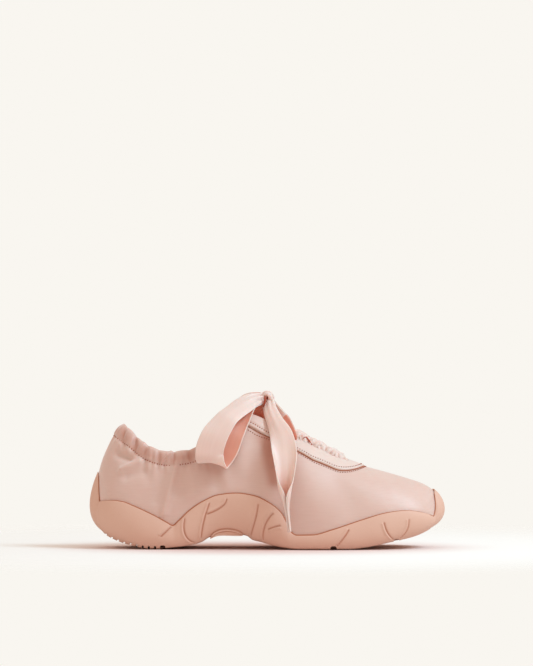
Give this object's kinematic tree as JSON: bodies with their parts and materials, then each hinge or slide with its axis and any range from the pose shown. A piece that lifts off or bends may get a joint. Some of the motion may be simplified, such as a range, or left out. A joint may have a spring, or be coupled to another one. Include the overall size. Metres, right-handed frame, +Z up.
{
  "type": "ballet sneaker",
  "caption": "Low satin sneaker with a gathered elastic collar, a flat ribbon lace tied in a bow and a sculpted moulded rubber sole.",
  "frame": {"origin": "on the floor, under the middle of the shoe's length and width, ribbons left out", "axes": "+X towards the toe, +Y towards the medial side, +Z up; a right shoe"},
  "size_m": [0.2667, 0.1094, 0.1172],
  "materials": {
    "sole_rubber": "matt moulded rubber",
    "upper_satin": "soft satin sheen",
    "trim_satin": "satin with edge stitching",
    "lining": "matt textile",
    "footbed": "matt textile",
    "ribbon_satin": "smooth satin ribbon"
  },
  "bodies": {
    "root": {"sole": "sole_rubber", "upper": "upper_satin", "eyestay": "trim_satin", "tongue": "lining", "insole": "footbed", "lace_crossings": "ribbon_satin", "bow_knot": "ribbon_satin", "bow_loop_lateral": "ribbon_satin", "bow_loop_medial": "ribbon_satin", "bow_tail_lateral": "ribbon_satin", "bow_tail_medial": "ribbon_satin"}
  },
  "joints": []
}
